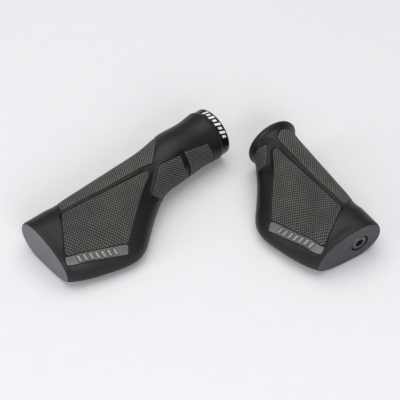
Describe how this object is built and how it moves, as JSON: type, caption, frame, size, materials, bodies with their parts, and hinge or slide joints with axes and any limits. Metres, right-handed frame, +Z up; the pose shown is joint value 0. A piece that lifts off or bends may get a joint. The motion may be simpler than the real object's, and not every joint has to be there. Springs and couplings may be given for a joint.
{
  "type": "handlebar grips",
  "caption": "Pair of ergonomic winged handlebar grips: a long one with a split clamp ring, and a short one with a flange and an expander bolt in its end face.",
  "frame": {"origin": "middle of the pair's footprint, on the surface that the grips lie on", "axes": "+Z up; +X across both grips, from the long one to the short one; +Y away from the wings"},
  "size_m": [0.2084, 0.1262, 0.0339],
  "materials": {
    "body_rubber": "matte moulded rubber",
    "pad_rubber": "knurled soft rubber",
    "ribbed_rubber": "finely ribbed rubber",
    "plate_rubber": "smooth satin rubber",
    "nylon": "glass-filled nylon, matte",
    "cap_plastic": "matte moulded plastic",
    "print_white": "white index marks printed on the ring",
    "ring_metal": "gloss black anodised",
    "screw_steel": "black oxide",
    "plain_steel": "zinc plated",
    "wedge_alloy": "machined"
  },
  "bodies": {
    "long_grip": {"long_core": "nylon", "long_rubber": "body_rubber", "long_palm_pad": "pad_rubber", "long_front_strip": "ribbed_rubber", "long_neck_patch_inboard": "ribbed_rubber", "long_neck_patch_outboard": "ribbed_rubber", "long_nameplate": "plate_rubber", "long_end_cap": "cap_plastic", "long_clamp_ring": "ring_metal"},
    "long_screw": {"long_clamp_screw": "screw_steel"},
    "short_grip": {"short_core": "nylon", "short_rubber": "body_rubber", "short_palm_pad": "pad_rubber", "short_front_strip": "ribbed_rubber", "short_side_patch": "ribbed_rubber", "short_nameplate": "plate_rubber", "short_end_cap": "cap_plastic", "short_washer": "plain_steel", "short_expander_cage": "nylon"},
    "bolt": {"short_bolt": "screw_steel"},
    "wedge_nut": {"short_wedge_nut": "wedge_alloy"},
    "segment_1": {"short_segment_1": "wedge_alloy"},
    "segment_2": {"short_segment_2": "wedge_alloy"},
    "segment_3": {"short_segment_3": "wedge_alloy"}
  },
  "joints": [
    {"name": "clamp_screw_turn", "type": "hinge", "parent": "long_grip", "child": "long_screw", "pos_m": [-0.00407, 0.05797, 0.01045], "axis": [0.2531, -0.2544, -0.9334], "range_deg": [-360, 720]},
    {"name": "grips_apart", "type": "slide", "parent": "long_grip", "child": "short_grip", "axis": [1, 0, 0], "range_m": [0, 0.06]},
    {"name": "expander_bolt_turn", "type": "hinge", "parent": "short_grip", "child": "bolt", "pos_m": [0.09008, -0.03706, 0.0131], "axis": [-0.5218, 0.8519, 0.0454], "range_deg": [0, 1440.5]},
    {"name": "wedge_nut_draw", "type": "slide", "parent": "short_grip", "child": "wedge_nut", "axis": [0.5218, -0.8519, -0.0454], "range_m": [0, 0.004]},
    {"name": "segment_1_spread", "type": "slide", "parent": "short_grip", "child": "segment_1", "axis": [-0.0358, -0.075, 0.9965], "range_m": [0, 0.00071]},
    {"name": "segment_2_spread", "type": "slide", "parent": "short_grip", "child": "segment_2", "axis": [0.756, 0.4864, -0.4379], "range_m": [0, 0.00071]},
    {"name": "segment_3_spread", "type": "slide", "parent": "short_grip", "child": "segment_3", "axis": [-0.7202, -0.4114, -0.5586], "range_m": [0, 0.00071]}
  ],
  "couplings": [
    {"joint": "expander_bolt_turn", "follows": "wedge_nut_draw", "rad_per_m": 6283.2},
    {"joint": "segment_1_spread", "follows": "wedge_nut_draw", "ratio": 0.17633},
    {"joint": "segment_2_spread", "follows": "wedge_nut_draw", "ratio": 0.17633},
    {"joint": "segment_3_spread", "follows": "wedge_nut_draw", "ratio": 0.17633}
  ]
}
